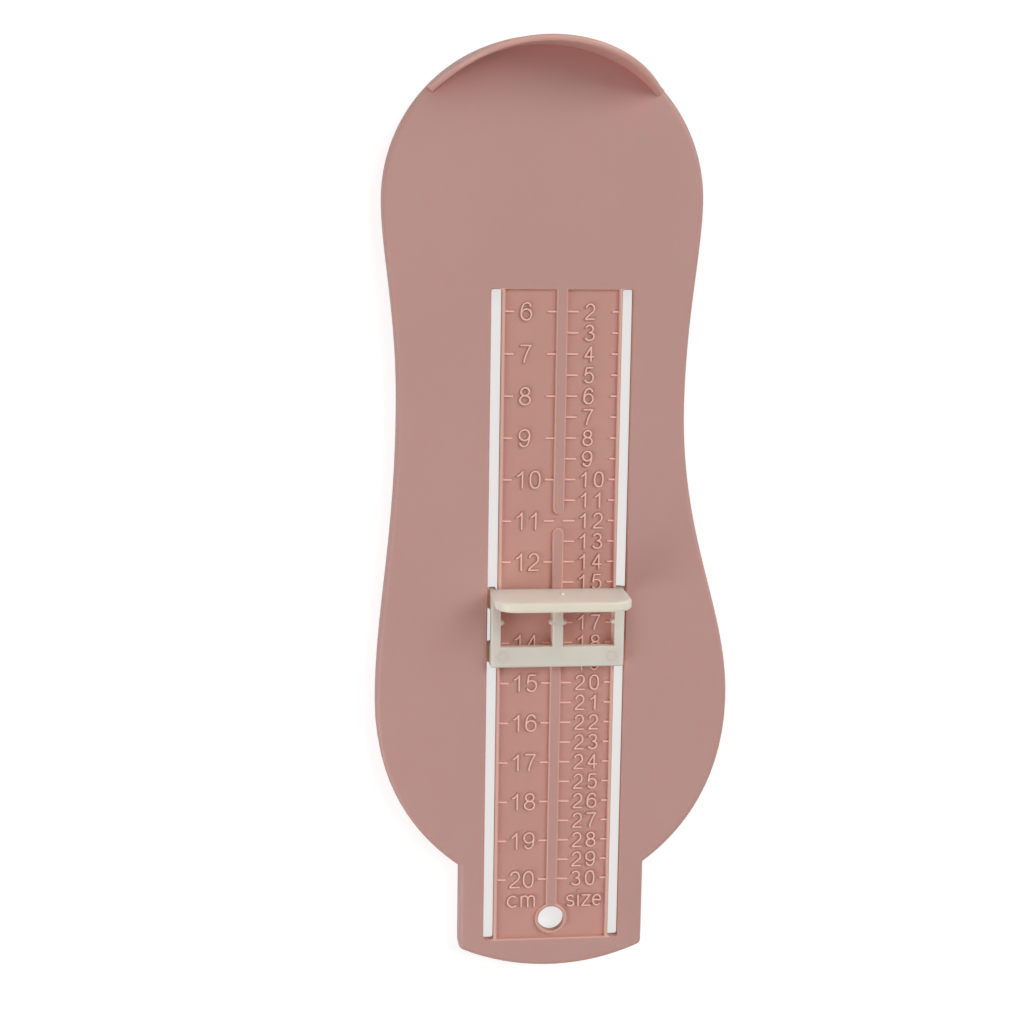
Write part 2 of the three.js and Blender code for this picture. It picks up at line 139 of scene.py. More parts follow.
# The photograph's viewing place in the frame, its turned axes, its lens and sensor, and the
# nearest and farthest that it sees
CAMERA_PLACE = (-69.07, 91.72, 485.65)
CAMERA_RIGHT = (0.9929079, 0.0147572, 0.1179668)
CAMERA_UP = (0.0071172, 0.9831082, -0.1828869)
CAMERA_BACK = (-0.1186730, 0.1824294, 0.9760309)
CAMERA_LENS = 72.66
SENSOR_WIDTH = 36
NEAREST = 10
FARTHEST = 20000


def linear(code):
    """A hex colour as a screen shows it, turned to the linear values that shaders take."""
    values = np.array([int(code[i:i + 2], 16) for i in (0, 2, 4)]) / 255
    straight = np.where(values <= 0.04045, values / 12.92, ((values + 0.055) / 1.055) ** 2.4)
    return tuple(float(value) for value in straight)


# Sizes and colours that a user would change

class BoardLooks(bpy.types.PropertyGroup):
    """Colour and finish of the moulded board"""

    colour: FloatVectorProperty(
        name="Board colour", description="Dusty rose of the moulded board",
        subtype="COLOR", size=3, min=0, max=1, default=linear("bc938b"),
    )
    # Painted shade: a redder pink that an ambient occlusion node lays into corners, as under the
    # heel wall
    corner_colour: FloatVectorProperty(
        name="Corner colour", description="Deeper pink where nothing rubs, as under the heel wall",
        subtype="COLOR", size=3, min=0, max=1, default=linear("d0938b"),
    )
    corner_reach: FloatProperty(
        name="Corner reach",
        description="How far the deeper pink reaches from a wall, in millimetres",
        min=1, max=40, default=12.5,
    )
    # Partly real, partly painted light: the scale floor is polished, and its pink, deeper than the
    # top's though it is the same plastic, stands in for the sheen that the polished floor lacks
    floor_colour: FloatVectorProperty(
        name="Scale floor colour",
        description="The polished floor of the scales looks deeper in colour",
        subtype="COLOR", size=3, min=0, max=1, default=linear("c39388"),
    )
    # Painted highlight: the tops of the raised marks and figures are painted paler, for the light
    # that catches them
    raised_colour: FloatVectorProperty(
        name="Raised mark colour", description="Rubbed tops of the marks, figures and eased edges",
        subtype="COLOR", size=3, min=0, max=1, default=linear("ecbcb1"),
    )
    # Painted light: the heel wall's rim and its inner face, towards the toe, are painted lighter
    # than the board, for the light that catches the rounded rim and comes through the thin wall
    rim_colour: FloatVectorProperty(
        name="Wall colour", description="Smooth faces and rim of the heel wall",
        subtype="COLOR", size=3, min=0, max=1, default=linear("cfa196"),
    )
    # Painted light: the slot sides, eased edges and ledges beside the slots are painted lighter
    # than the board, for the light that falls on them
    slot_colour: FloatVectorProperty(
        name="Slot colour", description="Sides, eased edges and ledges of the slots and pockets",
        subtype="COLOR", size=3, min=0, max=1, default=linear("d6aa9a"),
    )
    roughness: FloatProperty(
        name="Roughness", description="Roughness of the fine texture on the board's face",
        subtype="FACTOR", min=0, max=1, default=0.5,
    )
    grain: FloatProperty(
        name="Grain size", description="Size of one grain of the mould's texture, in millimetres",
        min=0.05, max=3, default=0.45,
    )
    translucence: FloatProperty(
        name="Translucence", description="Share of the light that spreads inside the plastic",
        subtype="FACTOR", min=0, max=1, default=0.5,
    )
    spread: FloatProperty(
        name="Spread", description="How far red light spreads inside the plastic, in millimetres",
        min=0, max=10, default=1.8,
    )
    crease: FloatProperty(
        name="Crease angle", description="Edges sharper than this stay crisp",
        subtype="ANGLE", min=0, max=3.14159, default=0.6,
    )


class ScaleLooks(bpy.types.PropertyGroup):
    """Sizes of the raised figures"""

    # Painted shade: the steep sides of the raised figures are painted darker, so each stroke has a
    # dark outline where shade falls beside it
    side_colour: FloatVectorProperty(
        name="Side colour", description="Dull sloping sides of the figures, which nothing rubs",
        subtype="COLOR", size=3, min=0, max=1, default=linear("be8977"),
    )
    stroke: FloatProperty(
        name="Stroke width", description="Width of a raised stroke at its foot, in millimetres",
        min=0.1, max=1.5, default=0.58,
    )
    rise: FloatProperty(
        name="Stroke height",
        description="Height of a stroke above the scale's floor, in millimetres",
        min=0.05, max=0.9, default=0.62,
    )
    centimetre_height: FloatProperty(
        name="Centimetre figures",
        description="Height of the left column's figures, in millimetres",
        min=1, max=8, default=4.6,
    )
    size_height: FloatProperty(
        name="Size figures", description="Height of the right column's figures, in millimetres",
        min=1, max=4.8, default=4.1,
    )
    legends: BoolProperty(
        name="Legends", description="Plain words under the two columns", default=True,
    )


class SliderLooks(bpy.types.PropertyGroup):
    """Colour and finish of the toe slider"""

    colour: FloatVectorProperty(
        name="Slider colour", description="Uncoloured, milky off-white of the slider",
        subtype="COLOR", size=3, min=0, max=1, default=linear("fffdea"),
    )
    rim_colour: FloatVectorProperty(
        name="Rim colour", description="The top of the stop, where light runs out of the edge",
        subtype="COLOR", size=3, min=0, max=1, default=linear("e6e2d1"),
    )
    frame_colour: FloatVectorProperty(
        name="Frame colour", description="The frame, darkened by the board close under it",
        subtype="COLOR", size=3, min=0, max=1, default=linear("dbdad0"),
    )
    ring_colour: FloatVectorProperty(
        name="Ring colour", description="The rings the ejector pins left on the frame",
        subtype="COLOR", size=3, min=0, max=1, default=linear("d2cbbf"),
    )
    glow_colour: FloatVectorProperty(
        name="Glow colour",
        description="Share of red, green and blue light that one face lets through",
        subtype="COLOR", size=3, min=0, max=1, default=(0.42, 0.16, 0.10),
    )
    # Painted light: the legs get a warm, light colour without scattering, so they look lit in the
    # slots' shade
    leg_colour: FloatVectorProperty(
        name="Leg colour", description="The legs in the slots",
        subtype="COLOR", size=3, min=0, max=1, default=linear("f8e6ca"),
    )
    clearness: FloatProperty(
        name="Clearness", description="Share of the light that goes through the plastic",
        subtype="FACTOR", min=0, max=1, default=0.12,
    )
    scatter: FloatProperty(
        name="Scatter depth",
        description="How far light spreads inside the plastic, in millimetres",
        min=0, max=10, default=3.4,
    )
    roughness: FloatProperty(
        name="Roughness", description="Roughness of the slider's smooth face",
        subtype="FACTOR", min=0, max=1, default=0.36,
    )
    witness: FloatProperty(
        name="Pin mark height", description="Height of the ejector pins' rings, in millimetres",
        min=0.01, max=0.3, default=0.07,
    )
    stub: FloatProperty(
        name="Gate stub height", description="Height of the cut gate on the stop, in millimetres",
        min=0.02, max=0.8, default=0.4,
    )


class StageLooks(bpy.types.PropertyGroup):
    """Strengths of the lamps and the floor"""

    key_power: FloatProperty(
        name="Main lamp", description="Power of the large lamp at the right, towards the heel",
        subtype="POWER", min=0, max=2000, default=875.0,
    )
    heel_power: FloatProperty(
        name="Heel lamp", description="Power of the high lamp beyond the heel", subtype="POWER",
        min=0, max=1000, default=166.0,
    )
    left_power: FloatProperty(
        name="Left lamp", description="Power of the low lamp at the left, towards the toe",
        subtype="POWER", min=0, max=1000, default=5.6,
    )
    surround: FloatProperty(
        name="Surround", description="Strength of the even light from all round",
        min=0, max=5, default=0.26,
    )
    floor_glow: FloatProperty(
        name="Floor white", description="How white the floor looks to the camera in the shade",
        min=0, max=1, default=0.715,
    )


# Nodes and meshes

def add_node(tree, kind, settings=(), inputs=()):
    """Adds one node: settings are its own options, inputs give each socket a value or a link."""
    node = tree.nodes.new(kind)
    for name, value in dict(settings).items():
        setattr(node, name, value)
    for name, value in dict(inputs).items():
        if isinstance(value, bpy.types.NodeSocket):
            tree.links.new(value, node.inputs[name])
        else:
            node.inputs[name].default_value = value
    return node


def rgba(colour):
    """A colour with full cover."""
    return (*colour, 1.0)


def empty_material(name):
    """A new material whose node tree is still empty."""
    material = bpy.data.materials.new(name)
    material.use_nodes = True
    material.node_tree.nodes.clear()
    return material


def shaded(colour, share):
    """A colour made darker or lighter by a share of itself, with full cover."""
    return rgba(tuple(min(1.0, value * share) for value in colour))


def plastic_skin(tree, colour, clouds, grain, detail, depth, roughness, rougher=UNEVENNESS):
    """What both plastics share: a cloudy colour, an uneven dullness and a fine relief.

    Clouds, grain and depth are sizes in millimetres. The result is three sockets: colour,
    roughness and normal.
    """
    place = add_node(tree, "ShaderNodeTexCoord").outputs["Object"]
    patches = add_node(
        tree, "ShaderNodeTexNoise",
        inputs={"Vector": place, "Scale": 1 / (clouds * MM), "Detail": 2.0},
    )
    dark, light = MOTTLING
    tint = add_node(
        tree, "ShaderNodeMix", {"data_type": "RGBA"},
        {0: patches.outputs["Fac"], 6: shaded(colour, dark), 7: shaded(colour, light)},
    )
    texture = add_node(
        tree, "ShaderNodeTexNoise",
        inputs={"Vector": place, "Scale": 1 / (grain * MM), "Detail": detail},
    )
    dullness = add_node(
        tree, "ShaderNodeMapRange",
        inputs={
            "Value": texture.outputs["Fac"],
            "From Min": NOISE_RANGE[0], "From Max": NOISE_RANGE[1],
            "To Min": roughness - UNEVENNESS, "To Max": roughness + rougher,
        },
    )
    bump = add_node(
        tree, "ShaderNodeBump",
        inputs={"Height": texture.outputs["Fac"], "Distance": depth * MM, "Strength": 1.0},
    )
    return tint.outputs[2], dullness.outputs["Result"], bump.outputs["Normal"]


def moulded_abs(name, colour, corner, roughness, depth, translucence, looks):
    """Injection-moulded ABS, coloured through: dull, even, and very slightly mottled.

    The mould's fine texture breaks the gloss up, so light lies on it as a broad sheen. Flow in the
    mould leaves cloudy patches a few centimetres wide that differ by a few parts in a hundred.
    Sheltered corners, found by an ambient occlusion node, get a deeper, redder pink: painted
    shade.
    Red light runs furthest inside the plastic, so thin walls and shadows look redder.
    """
    material = empty_material(name)
    tree = material.node_tree
    tint, dullness, relief = plastic_skin(
        tree, colour, ABS_CLOUDS, looks.grain, detail=3.0, depth=depth, roughness=roughness,
    )
    # Painted shade: the corner colour is mixed in where the ambient occlusion node finds the face
    # sheltered
    shelter = add_node(
        tree, "ShaderNodeAmbientOcclusion", {"samples": 8, "only_local": True},
        {"Distance": looks.corner_reach * MM},
    )
    openness = add_node(
        tree, "ShaderNodeMapRange",
        inputs={"Value": shelter.outputs["AO"], "From Min": SHELTERED, "From Max": OPEN},
    )
    shade_tinted = add_node(
        tree, "ShaderNodeMix", {"data_type": "RGBA"},
        {0: openness.outputs["Result"], 6: rgba(corner), 7: tint},
    )
    plastic = add_node(
        tree, "ShaderNodeBsdfPrincipled",
        inputs={
            "Base Color": shade_tinted.outputs[2], "Roughness": dullness, "IOR": ABS_IOR,
            "Subsurface Weight": translucence, "Subsurface Radius": (1.0, 0.2, 0.16),
            "Subsurface Scale": looks.spread * MM, "Normal": relief,
        },
    )
    add_node(tree, "ShaderNodeOutputMaterial", inputs={"Surface": plastic.outputs["BSDF"]})
    return material


def milky_polypropylene(name, colour, scattering, looks):
    """Injection-moulded natural polypropylene: uncoloured, so it is milky and lets light through.

    Light that goes in scatters before it comes out, so thin walls glow and what lies close behind
    them shows as a blur. A little warm light goes right through, so its shadows aren't quite dark.
    Its skin is smooth with a faint waxy unevenness.
    """
    material = empty_material(name)
    tree = material.node_tree
    tint, dullness, relief = plastic_skin(
        tree, colour, POLYPROPYLENE_CLOUDS, POLYPROPYLENE_RIPPLES, detail=2.0, depth=0.012,
        roughness=looks.roughness, rougher=0.06,
    )
    plastic = add_node(
        tree, "ShaderNodeBsdfPrincipled",
        inputs={
            "Base Color": tint, "Roughness": dullness, "IOR": POLYPROPYLENE_IOR,
            "Subsurface Weight": scattering, "Subsurface Radius": (1.0, 1.0, 1.0),
            "Subsurface Scale": looks.scatter * MM,
            "Transmission Weight": looks.clearness * scattering,
            "Normal": relief,
        },
    )
    path = add_node(tree, "ShaderNodeLightPath")
    through = add_node(
        tree, "ShaderNodeBsdfTransparent", inputs={"Color": rgba(looks.glow_colour)},
    )
    pick = add_node(
        tree, "ShaderNodeMixShader",
        inputs={
            0: path.outputs["Is Shadow Ray"], 1: plastic.outputs["BSDF"], 2: through.outputs[0],
        },
    )
    add_node(tree, "ShaderNodeOutputMaterial", inputs={"Surface": pick.outputs[0]})
    return material


def in_frame(points):
    """Millimetres from the scale's zero and the table, turned to metres in the frame."""
    return (np.asarray(points) + np.array([*SCALE_ZERO, 0])) * MM


def new_piece(name, mesh, body):
    """A new object for a finished mesh, riding on a body."""
    piece = bpy.data.objects.new(name, mesh)
    bpy.context.scene.collection.objects.link(piece)
    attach(piece, body)
    return piece


def weigh_normals(piece):
    """Lets large faces set the normals at their corners: flats stay flat beside roundings."""
    modifier = piece.modifiers.new("weighted_normals", "WEIGHTED_NORMAL")
    modifier.mode = "FACE_AREA"
    modifier.weight = 100
    modifier.keep_sharp = True


def face_rows(mesh, key):
    """One row of three numbers for each face: its "center" or its "normal"."""
    values = np.empty(len(mesh.polygons) * 3)
    mesh.polygons.foreach_get(key, values)
    return values.reshape(-1, 3)


def make_smooth(mesh, crease):
    """Smooth shading over every edge that turns by less than the crease angle."""
    mesh.polygons.foreach_set("use_smooth", np.ones(len(mesh.polygons), dtype=bool))
    mesh.set_sharp_from_angle(angle=crease)


def merged_copy(node, name, crease):
    """A fresh copy of a CAD node's surface, its doubled vertices merged into one smooth skin."""
    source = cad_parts[node].data
    places = np.empty(len(source.vertices) * 3)
    source.vertices.foreach_get("co", places)
    corners = np.empty(len(source.loops), dtype=np.int32)
    source.loops.foreach_get("vertex_index", corners)
    mesh = bpy.data.meshes.new(name)
    mesh.from_pydata(places.reshape(-1, 3), [], corners.reshape(-1, 3).tolist())
    work = bmesh.new()
    work.from_mesh(mesh)
    bmesh.ops.remove_doubles(work, verts=work.verts, dist=WELD * MM)
    bmesh.ops.dissolve_limit(
        work, angle_limit=FLAT_ANGLE, use_dissolve_boundaries=False,
        verts=work.verts, edges=work.edges,
    )
    bmesh.ops.triangulate(work, faces=work.faces, quad_method="BEAUTY", ngon_method="BEAUTY")
    work.to_mesh(mesh)
    work.free()
    make_smooth(mesh, crease)
    return mesh


# Figures as centre lines in a cell one wide and one high

def line(x0, y0, x1, y1):
    """A straight stroke: the two ends mixed by a share that runs from 0 to 1."""
    share = np.linspace(0, 1, 7)[:, None]
    return (1 - share) * np.array([x0, y0]) + share * np.array([x1, y1])


def arc(x, y, half_width, half_height, start, end, fullness=1.0):
    """Part of an oval: cosine and sine of an angle between start and end, in degrees.

    A fullness below 1 raises both to that power, which fills the oval out towards its corners.
    """
    angle = np.radians(np.linspace(start, end, max(8, int(abs(end - start) / 12))))
    across = np.sign(np.cos(angle)) * np.abs(np.cos(angle)) ** fullness
    along = np.sign(np.sin(angle)) * np.abs(np.sin(angle)) ** fullness
    return np.stack([x + half_width * across, y + half_height * along], axis=1)


def bend(*corners):
    """A cubic curve: four points weighted by (1-t)^3, 3t(1-t)^2, 3t^2(1-t) and t^3."""
    t = np.linspace(0, 1, 13)[:, None]
    a, b, c, d = (np.array(corner) for corner in corners)
    return (1 - t) ** 3 * a + 3 * t * (1 - t) ** 2 * b + 3 * t ** 2 * (1 - t) * c + t ** 3 * d


def joined(*parts):
    """Strokes that run on from one another, made one path."""
    return np.concatenate([parts[0]] + [part[1:] for part in parts[1:]])


def half_turned(strokes):
    """The same strokes turned by half a turn in their cell."""
    return [1 - stroke for stroke in strokes]


SIX = [
    joined(
        bend((0.93, 0.80), (0.86, 0.94), (0.72, 1.0), (0.55, 1.0)),
        bend((0.55, 1.0), (0.16, 1.0), (0.0, 0.72), (0.0, 0.33)),
    ),
    arc(0.5, 0.32, 0.5, 0.32, 0, 360),
]

FIGURES = {
    "0": [arc(0.5, 0.5, 0.48, 0.5, 90, 450, 0.86)],
    "1": [line(0.64, 0, 0.64, 1), bend((0.64, 1), (0.54, 0.86), (0.36, 0.76), (0.14, 0.72))],
    "2": [
        joined(
            arc(0.5, 0.70, 0.45, 0.30, 165, -35),
            bend((0.869, 0.528), (0.74, 0.40), (0.12, 0.20), (0.0, 0.0)),
        ),
        line(0, 0, 1, 0),
    ],
    "3": [arc(0.45, 0.765, 0.42, 0.235, 155, -90), arc(0.46, 0.265, 0.5, 0.265, 90, -155)],
    "4": [line(0.70, 1, 0, 0.31), line(0, 0.31, 1, 0.31), line(0.70, 1, 0.70, 0)],
    "5": [
        line(0.90, 1, 0.22, 1),
        line(0.22, 1, 0.08, 0.50),
        joined(line(0.08, 0.50, 0.10, 0.515), arc(0.48, 0.33, 0.5, 0.33, 140, -150)),
    ],
    "6": SIX,
    "7": [line(0, 1, 1, 1), bend((1, 1), (0.70, 0.72), (0.42, 0.36), (0.36, 0))],
    "8": [arc(0.5, 0.765, 0.41, 0.235, 0, 360), arc(0.5, 0.265, 0.5, 0.265, 0, 360)],
    "9": half_turned(SIX),
    "c": [arc(0.5, 0.5, 0.5, 0.5, 48, 312)],
    "m": [
        line(0, 0, 0, 1),
        joined(arc(0.25, 0.68, 0.25, 0.32, 180, 0), line(0.5, 0.68, 0.5, 0)),
        joined(arc(0.75, 0.68, 0.25, 0.32, 180, 0), line(1, 0.68, 1, 0)),
    ],
    "s": [
        joined(
            arc(0.5, 0.75, 0.42, 0.25, 35, 270), arc(0.5, 0.25, 0.45, 0.25, 90, -145),
        ),
    ],
    "i": [line(0.5, 0, 0.5, 1), line(0.5, 1.42, 0.5, 1.44)],
    "z": [line(0, 1, 1, 1), line(1, 1, 0, 0), line(0, 0, 1, 0)],
    "e": [joined(line(0.03, 0.52, 1, 0.52), arc(0.5, 0.5, 0.5, 0.5, 4, 318))],
}


def text_strokes(text, middle, cell, gap, height, widths=None):
    """Centre lines of a row of figures about its middle, each in a cell of the given width."""
    cells = [cell * (widths or {}).get(letter, 1.0) for letter in text]
    left = middle[0] - (sum(cells) + gap * (len(cells) - 1)) / 2
    strokes = []
    for letter, width in zip(text, cells):
        for stroke in FIGURES[letter]:
            size = np.array([width, height])
            strokes.append(stroke * size + np.array([left, middle[1] - height / 2]))
        left += width + gap
    return strokes


def skinned(rings, first):
    """Faces over a stack of closed rings whose first vertex has number first, both ends shut."""
    rows, columns = rings.shape[:2]
    row, column = np.meshgrid(np.arange(rows - 1), np.arange(columns), indexing="ij")
    after = (column + 1) % columns
    corner = first + row * columns
    quads = np.stack(
        [corner + column, corner + after, corner + columns + after, corner + columns + column],
        axis=-1,
    )
    last = first + (rows - 1) * columns
    ends = [list(range(first + columns - 1, first - 1, -1)), list(range(last, last + columns))]
    return quads.reshape(-1, 4).tolist() + ends


def raised_strokes(strokes, width, rise, foot, embed=0.05):
    """One mesh of round-topped strokes, each an arched profile carried along its centre line.

    Across the stroke the profile is half the width times the cosine of an angle from 0 to 180
    degrees, and its height is the rise times a power of the sine. Both shrink with the cosine of a
    second angle while the ends run on by its sine, which closes each end as a quarter of a dome.
    """
    fullness = 0.6
    round_share = np.radians(np.linspace(0, 84, 5))
    turn = np.radians(np.linspace(0, 180, 11))
    across = np.cos(turn) * width / 2
    up = np.sin(turn) ** fullness * rise
    vertices, faces, count = [], [], 0
    for path in strokes:
        ahead = np.gradient(path, axis=0)
        ahead /= np.linalg.norm(ahead, axis=1, keepdims=True)
        start = path[0] - ahead[0] * np.sin(round_share[:0:-1])[:, None] * width / 2
        end = path[-1] + ahead[-1] * np.sin(round_share[1:])[:, None] * width / 2
        centres = np.concatenate([start, path, end])
        lead = len(round_share) - 1
        ways = np.concatenate(
            [np.repeat(ahead[:1], lead, 0), ahead, np.repeat(ahead[-1:], lead, 0)]
        )
        shrink = np.concatenate(
            [np.cos(round_share[:0:-1]), np.ones(len(path)), np.cos(round_share[1:])]
        )
        side = np.stack([-ways[:, 1], ways[:, 0]], axis=1)
        plan = centres[:, None, :] + side[:, None, :] * (across * shrink[:, None])[:, :, None]
        heights = foot - embed + (up + embed) * shrink[:, None] ** fullness
        heights[:, [0, -1]] = foot - embed
        rings = np.concatenate([plan, heights[:, :, None]], axis=2)
        vertices.append(rings.reshape(-1, 3))
        faces += skinned(rings, count)
        count += rings.shape[0] * rings.shape[1]
    return np.concatenate(vertices), faces


def gate_stub(middle, radius, rise, embed=0.1):
    """A low dome towards +Y: rings with an angle's cosine as radius and its sine as reach."""
    climb = np.radians(np.linspace(0, 80, 6))
    turn = np.radians(np.linspace(0, 345, 24))
    spans = np.concatenate([[1.0], np.cos(climb)]) * radius
    reach = np.concatenate([[-embed], np.sin(climb) * rise])
    rings = np.stack(
        [
            middle[0] + np.outer(spans, np.cos(turn)),
            middle[1] + np.repeat(reach[:, None], len(turn), axis=1),
            middle[2] + np.outer(spans, np.sin(turn)),
        ],
        axis=-1,
    )
    return rings.reshape(-1, 3), skinned(rings, 0)


def smooth_mesh(name, vertices, faces, crease=0.9):
    """A mesh in metres in the frame with its faces pointing outwards."""
    mesh = bpy.data.meshes.new(name)
    mesh.from_pydata(in_frame(vertices), [], faces)
    work = bmesh.new()
    work.from_mesh(mesh)
    bmesh.ops.recalc_face_normals(work, faces=work.faces)
    work.to_mesh(mesh)
    work.free()
    make_smooth(mesh, crease)
    return mesh


# Operators

class FOOTGAUGE_OT_board(bpy.types.Operator):
    """Dress the board with textured ABS, a polished scale floor, painted highlights and painted
    shade
    """

    bl_idname = "footgauge.board"
    bl_label = "Moulded Board"

    def execute(self, context):
        looks = context.scene.foot_gauge_board
        mesh = merged_copy("measuring_board", "moulded_board", looks.crease)
        if not len(mesh.polygons):
            raise RuntimeError("the board has no faces")
        rough, through, corner = looks.roughness, looks.translucence, looks.corner_colour
        # A finish for each slot: name, colour in the open and painted shade colour in corners,
        # roughness, depth of its texture in millimetres, and translucence
        raised, slots = looks.raised_colour, looks.slot_colour
        for recipe in (
            ("textured_moulded_abs", looks.colour, corner, rough, 0.02, through),
            # The polished scale floor, its deeper pink painted for the sheen it lacks
            ("polished_moulded_abs", looks.floor_colour, corner, rough - 0.1, 0.01, through),
            # Tops of the marks and figures, painted paler as a highlight
            ("rubbed_moulded_abs", raised, raised, rough - 0.05, 0.01, 0),
            # Rim and inner face of the heel wall, painted lighter; its lower roughness is real
            ("smooth_wall_moulded_abs", looks.rim_colour, corner, rough - 0.1, 0.01, through / 2),
            # Sides, eased edges and ledges of the slots, painted lighter
            ("slot_side_moulded_abs", slots, slots, rough, 0.01, 0),
        ):
            mesh.materials.append(moulded_abs(*recipe, looks))
        x, y, z = (face_rows(mesh, "center") / MM - np.array([*SCALE_ZERO, 0])).T
        _, towards_heel, facing = face_rows(mesh, "normal").T
        below_top = z < BOARD_TOP - LEVEL_MARGIN
        upward = facing > UPWARD
        strip = (
            (np.abs(x) < SLOT_OUTER_X + EDGE_MARGIN)
            & (y < STRIP_HEEL_Y + EDGE_MARGIN) & (y > STRIP_TOE_Y - EDGE_MARGIN)
        )
        pocket = strip & (np.abs(x) < POCKET_HALF_WIDTH + POCKET_MARGIN)
        floor = pocket & upward & below_top & (z > POCKET_FLOOR - POCKET_MARGIN)
        # The tick marks' tops take the paler colour: painted highlight
        marks = pocket & upward & below_top & (z > POCKET_FLOOR + MARK_CLEARANCE)
        inner = strip & (np.abs(x) < LEDGE_HALF_WIDTH)
        # Eased edges, ledges and slot sides below take the slot colour: painted light
        eased = inner & upward & (facing < FLAT) & (z > BOARD_TOP - LEVEL_MARGIN)
        ledge = inner & ~pocket & (facing > FLAT)
        sides = strip & (np.abs(facing) < UPWARD) & below_top
        # The heel wall's rim and inner face take the lighter wall colour: painted light
        wall = (z > BOARD_TOP + LEVEL_MARGIN) & (y > WALL_LOW_Y)
        wall &= (facing > RIM_UPWARD) | (towards_heel < 0)
        finish = np.zeros(len(z), dtype=np.int32)
        for number, faces in enumerate((floor, marks, wall, sides | eased | ledge), start=1):
            finish[faces] = number
        mesh.polygons.foreach_set("material_index", finish)
        board = new_piece("moulded_board", mesh, "board")
        weigh_normals(board)
        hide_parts("measuring_board")
        return {"FINISHED"}


class FOOTGAUGE_OT_scales(bpy.types.Operator):
    """Raise the figures of both scales from the pocket's floor"""

    bl_idname = "footgauge.scales"
    bl_label = "Raised Figures"

    def execute(self, context):
        looks = context.scene.foot_gauge_scales
        board = context.scene.foot_gauge_board
        highlight_material = bpy.data.materials.get("rubbed_moulded_abs")
        if highlight_material is None:
            raise RuntimeError("the board is dressed before the figures")
        # The figures' steep sides get a darker colour: painted shade
        side = moulded_abs(
            "figure_side_moulded_abs", looks.side_colour, looks.side_colour, board.roughness, 0.01,
            0, board,
        )
        stroke = looks.stroke
        tall = looks.centimetre_height - stroke
        short = looks.size_height - stroke
        centimetres, sizes = [], []
        for half in range(2 * FIRST_CENTIMETRE, 2 * LAST_CENTIMETRE + 1):
            y = -CENTIMETRE * half / 2
            sizes += self.number(half - HALVES_BEFORE_SIZES, y, short, SIZE_COLUMN)
            if half % 2 == 0:
                centimetres += self.number(half // 2, y, tall, CENTIMETRE_COLUMN)
        if looks.legends:
            centimetres += text_strokes(
                "cm", (-7.5, -205.7), cell=2.4, gap=1.0, height=2.8, widths={"m": 1.35},
            )
            sizes += text_strokes(
                "size", (8.1, -205.8), cell=1.95, gap=0.75, height=2.7, widths={"i": 0.25},
            )
        for name, strokes in (("centimetre_figures", centimetres), ("size_figures", sizes)):
            vertices, faces = raised_strokes(strokes, stroke, looks.rise, POCKET_FLOOR)
            mesh = smooth_mesh(name, vertices, faces)
            mesh.materials.append(highlight_material)
            mesh.materials.append(side)
            # Steep faces take the darker side colour, painted shade; the rest take the paler top,
            # painted highlight
            shaded_steep = face_rows(mesh, "normal")[:, 2] < FIGURE_UPWARD
            mesh.polygons.foreach_set("material_index", shaded_steep.astype(np.int32))
            new_piece(name, mesh, "board")
        return {"FINISHED"}

    def number(self, value, y, height, column):
        """Strokes of one number beside its mark, at the place its count of figures asks for."""
        text = str(value)
        middle = column["middles"][len(text) - 1]
        return text_strokes(text, (middle, y), column["cell"], column["gap"], height)


class FOOTGAUGE_OT_slider(bpy.types.Operator):
    """Dress the toe slider with milky polypropylene and the small traces of its moulding"""

    bl_idname = "footgauge.slider"
    bl_label = "Toe Slider"

    def execute(self, context):
        looks = context.scene.foot_gauge_slider
        mesh = merged_copy("toe_slider", "milky_slider", context.scene.foot_gauge_board.crease)
        if not len(mesh.polygons):
            raise RuntimeError("the slider has no faces")
        for name, colour, scattering in (
            ("milky_polypropylene_stop", looks.colour, 1.0),
            ("milky_polypropylene_rim", looks.rim_colour, 1.0),
            ("milky_polypropylene_frame", looks.frame_colour, 1.0),
            # The legs, painted lighter and warmer for the slots' shade
            ("cloudy_polypropylene_legs", looks.leg_colour, 0.0),
        ):
            mesh.materials.append(milky_polypropylene(name, colour, scattering, looks))
        z = face_rows(mesh, "center")[:, 2] / MM
        finish = np.zeros(len(z), dtype=np.int32)
        finish[face_rows(mesh, "normal")[:, 2] > STOP_UPWARD] = 1
        finish[z < FRAME_TOP + LEVEL_MARGIN] = 2
        finish[z < BOARD_TOP] = 3
        mesh.polygons.foreach_set("material_index", finish)
        slider = new_piece("milky_slider", mesh, "slider")
        weigh_normals(slider)
        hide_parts("toe_slider")
        ring = milky_polypropylene("polypropylene_rings", looks.ring_colour, 0.0, looks)
        stub = milky_polypropylene("polypropylene_stub", looks.rim_colour, 0.0, looks)
        circles = [arc(x, CROSS_BAR_Y, PIN_RADIUS, PIN_RADIUS, 0, 360) for x in (-PIN_X, PIN_X)]
        ring_width = 4 * looks.witness
        rings = raised_strokes(circles, ring_width, looks.witness, FRAME_TOP)
        traces = {
            "ejector_marks": (ring, rings),
            "gate_stub": (stub, gate_stub(GATE_PLACE, GATE_RADIUS, looks.stub)),
        }
        for name, (material, (vertices, faces)) in traces.items():
            mark = smooth_mesh(name, vertices, faces)
            mark.materials.append(material)
            new_piece(name, mark, "slider")
        return {"FINISHED"}


